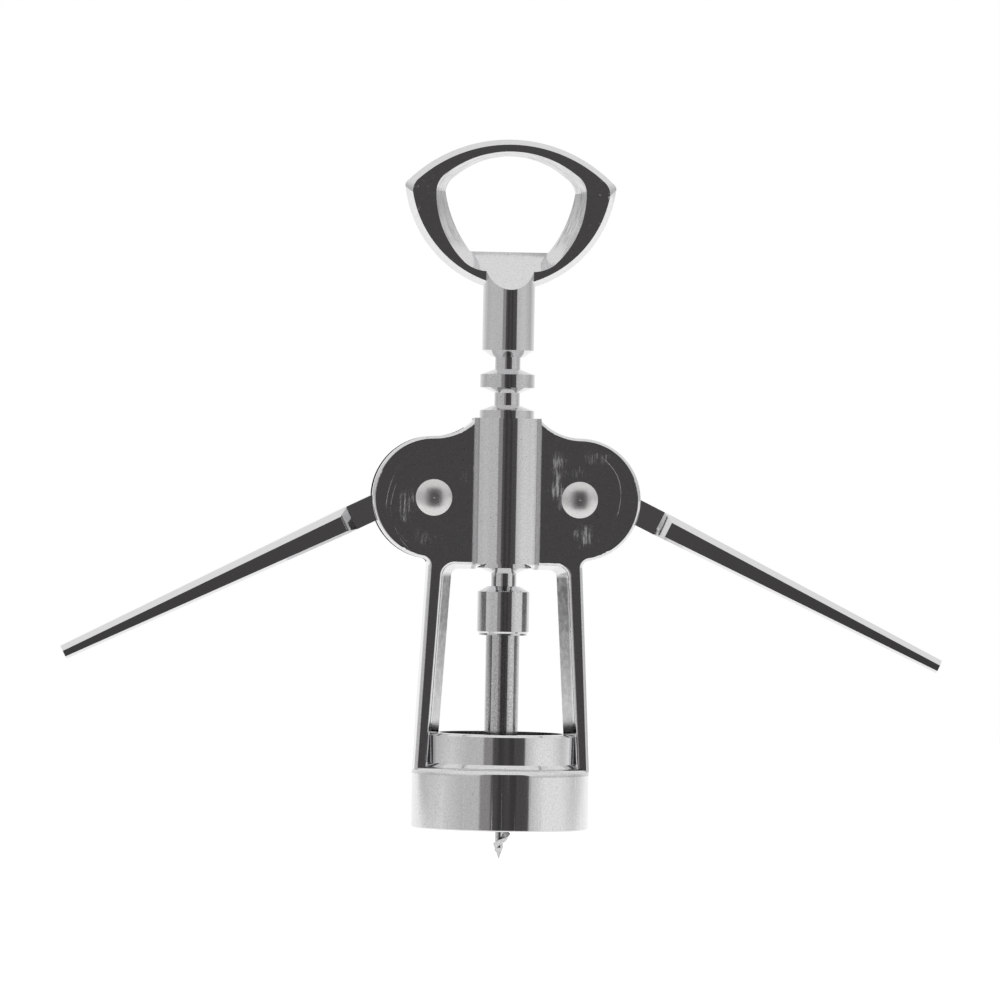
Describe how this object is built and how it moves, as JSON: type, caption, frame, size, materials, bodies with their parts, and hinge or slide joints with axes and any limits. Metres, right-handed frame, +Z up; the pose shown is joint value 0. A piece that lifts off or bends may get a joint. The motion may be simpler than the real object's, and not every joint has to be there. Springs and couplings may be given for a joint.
{
  "type": "wing corkscrew",
  "caption": "Two-lever corkscrew: geared wings lift a ringed rack that carries the worm through a bell; the handle loop opens crown caps.",
  "frame": {"origin": "centre of the annular seat inside the bell that rests on the bottle's lip", "axes": "+Z up the screw towards the handle, +X to the right lever, -Y to the front of the cheek plates"},
  "size_m": [0.1926, 0.0388, 0.1569],
  "materials": {
    "cast_body": "polished chrome plate on die-cast zinc",
    "cast_levers": "polished chrome plate on die-cast zinc",
    "rivets": "bright nickel-plated steel",
    "turned_screw": "chrome plate over turned marks",
    "worm_steel": "plated steel, slightly grainy",
    "cast_handle": "polished chrome plate on die-cast zinc"
  },
  "bodies": {
    "frame": {"body_frame": "cast_body", "pivot_rivet_right": "rivets", "pivot_rivet_left": "rivets", "rivet_cap_right": "rivets", "rivet_cap_left": "rivets"},
    "rack": {"rack_spindle": "turned_screw"},
    "screw": {"opener_handle": "cast_handle", "worm_collar": "turned_screw", "worm": "worm_steel"},
    "right_lever": {"lever_right": "cast_levers"},
    "left_lever": {"lever_left": "cast_levers"}
  },
  "joints": [
    {"name": "rack_slide", "type": "slide", "parent": "frame", "child": "rack", "axis": [0, 0, 1], "range_m": [-0.01884, 0.01197]},
    {"name": "screw_turn", "type": "hinge", "parent": "rack", "child": "screw", "pos_m": [0, 0, 0.08], "axis": [0, 0, 1], "continuous": true},
    {"name": "right_lever_swing", "type": "hinge", "parent": "frame", "child": "right_lever", "pos_m": [0.0159, 0, 0.0608], "axis": [0, 1, 0], "range_deg": [-96, 61]},
    {"name": "left_lever_swing", "type": "hinge", "parent": "frame", "child": "left_lever", "pos_m": [-0.0159, 0, 0.0608], "axis": [0, 1, 0], "range_deg": [-61, 96]}
  ],
  "couplings": [
    {"joint": "right_lever_swing", "follows": "rack_slide", "rad_per_m": 88.889},
    {"joint": "left_lever_swing", "follows": "rack_slide", "rad_per_m": -88.889}
  ]
}
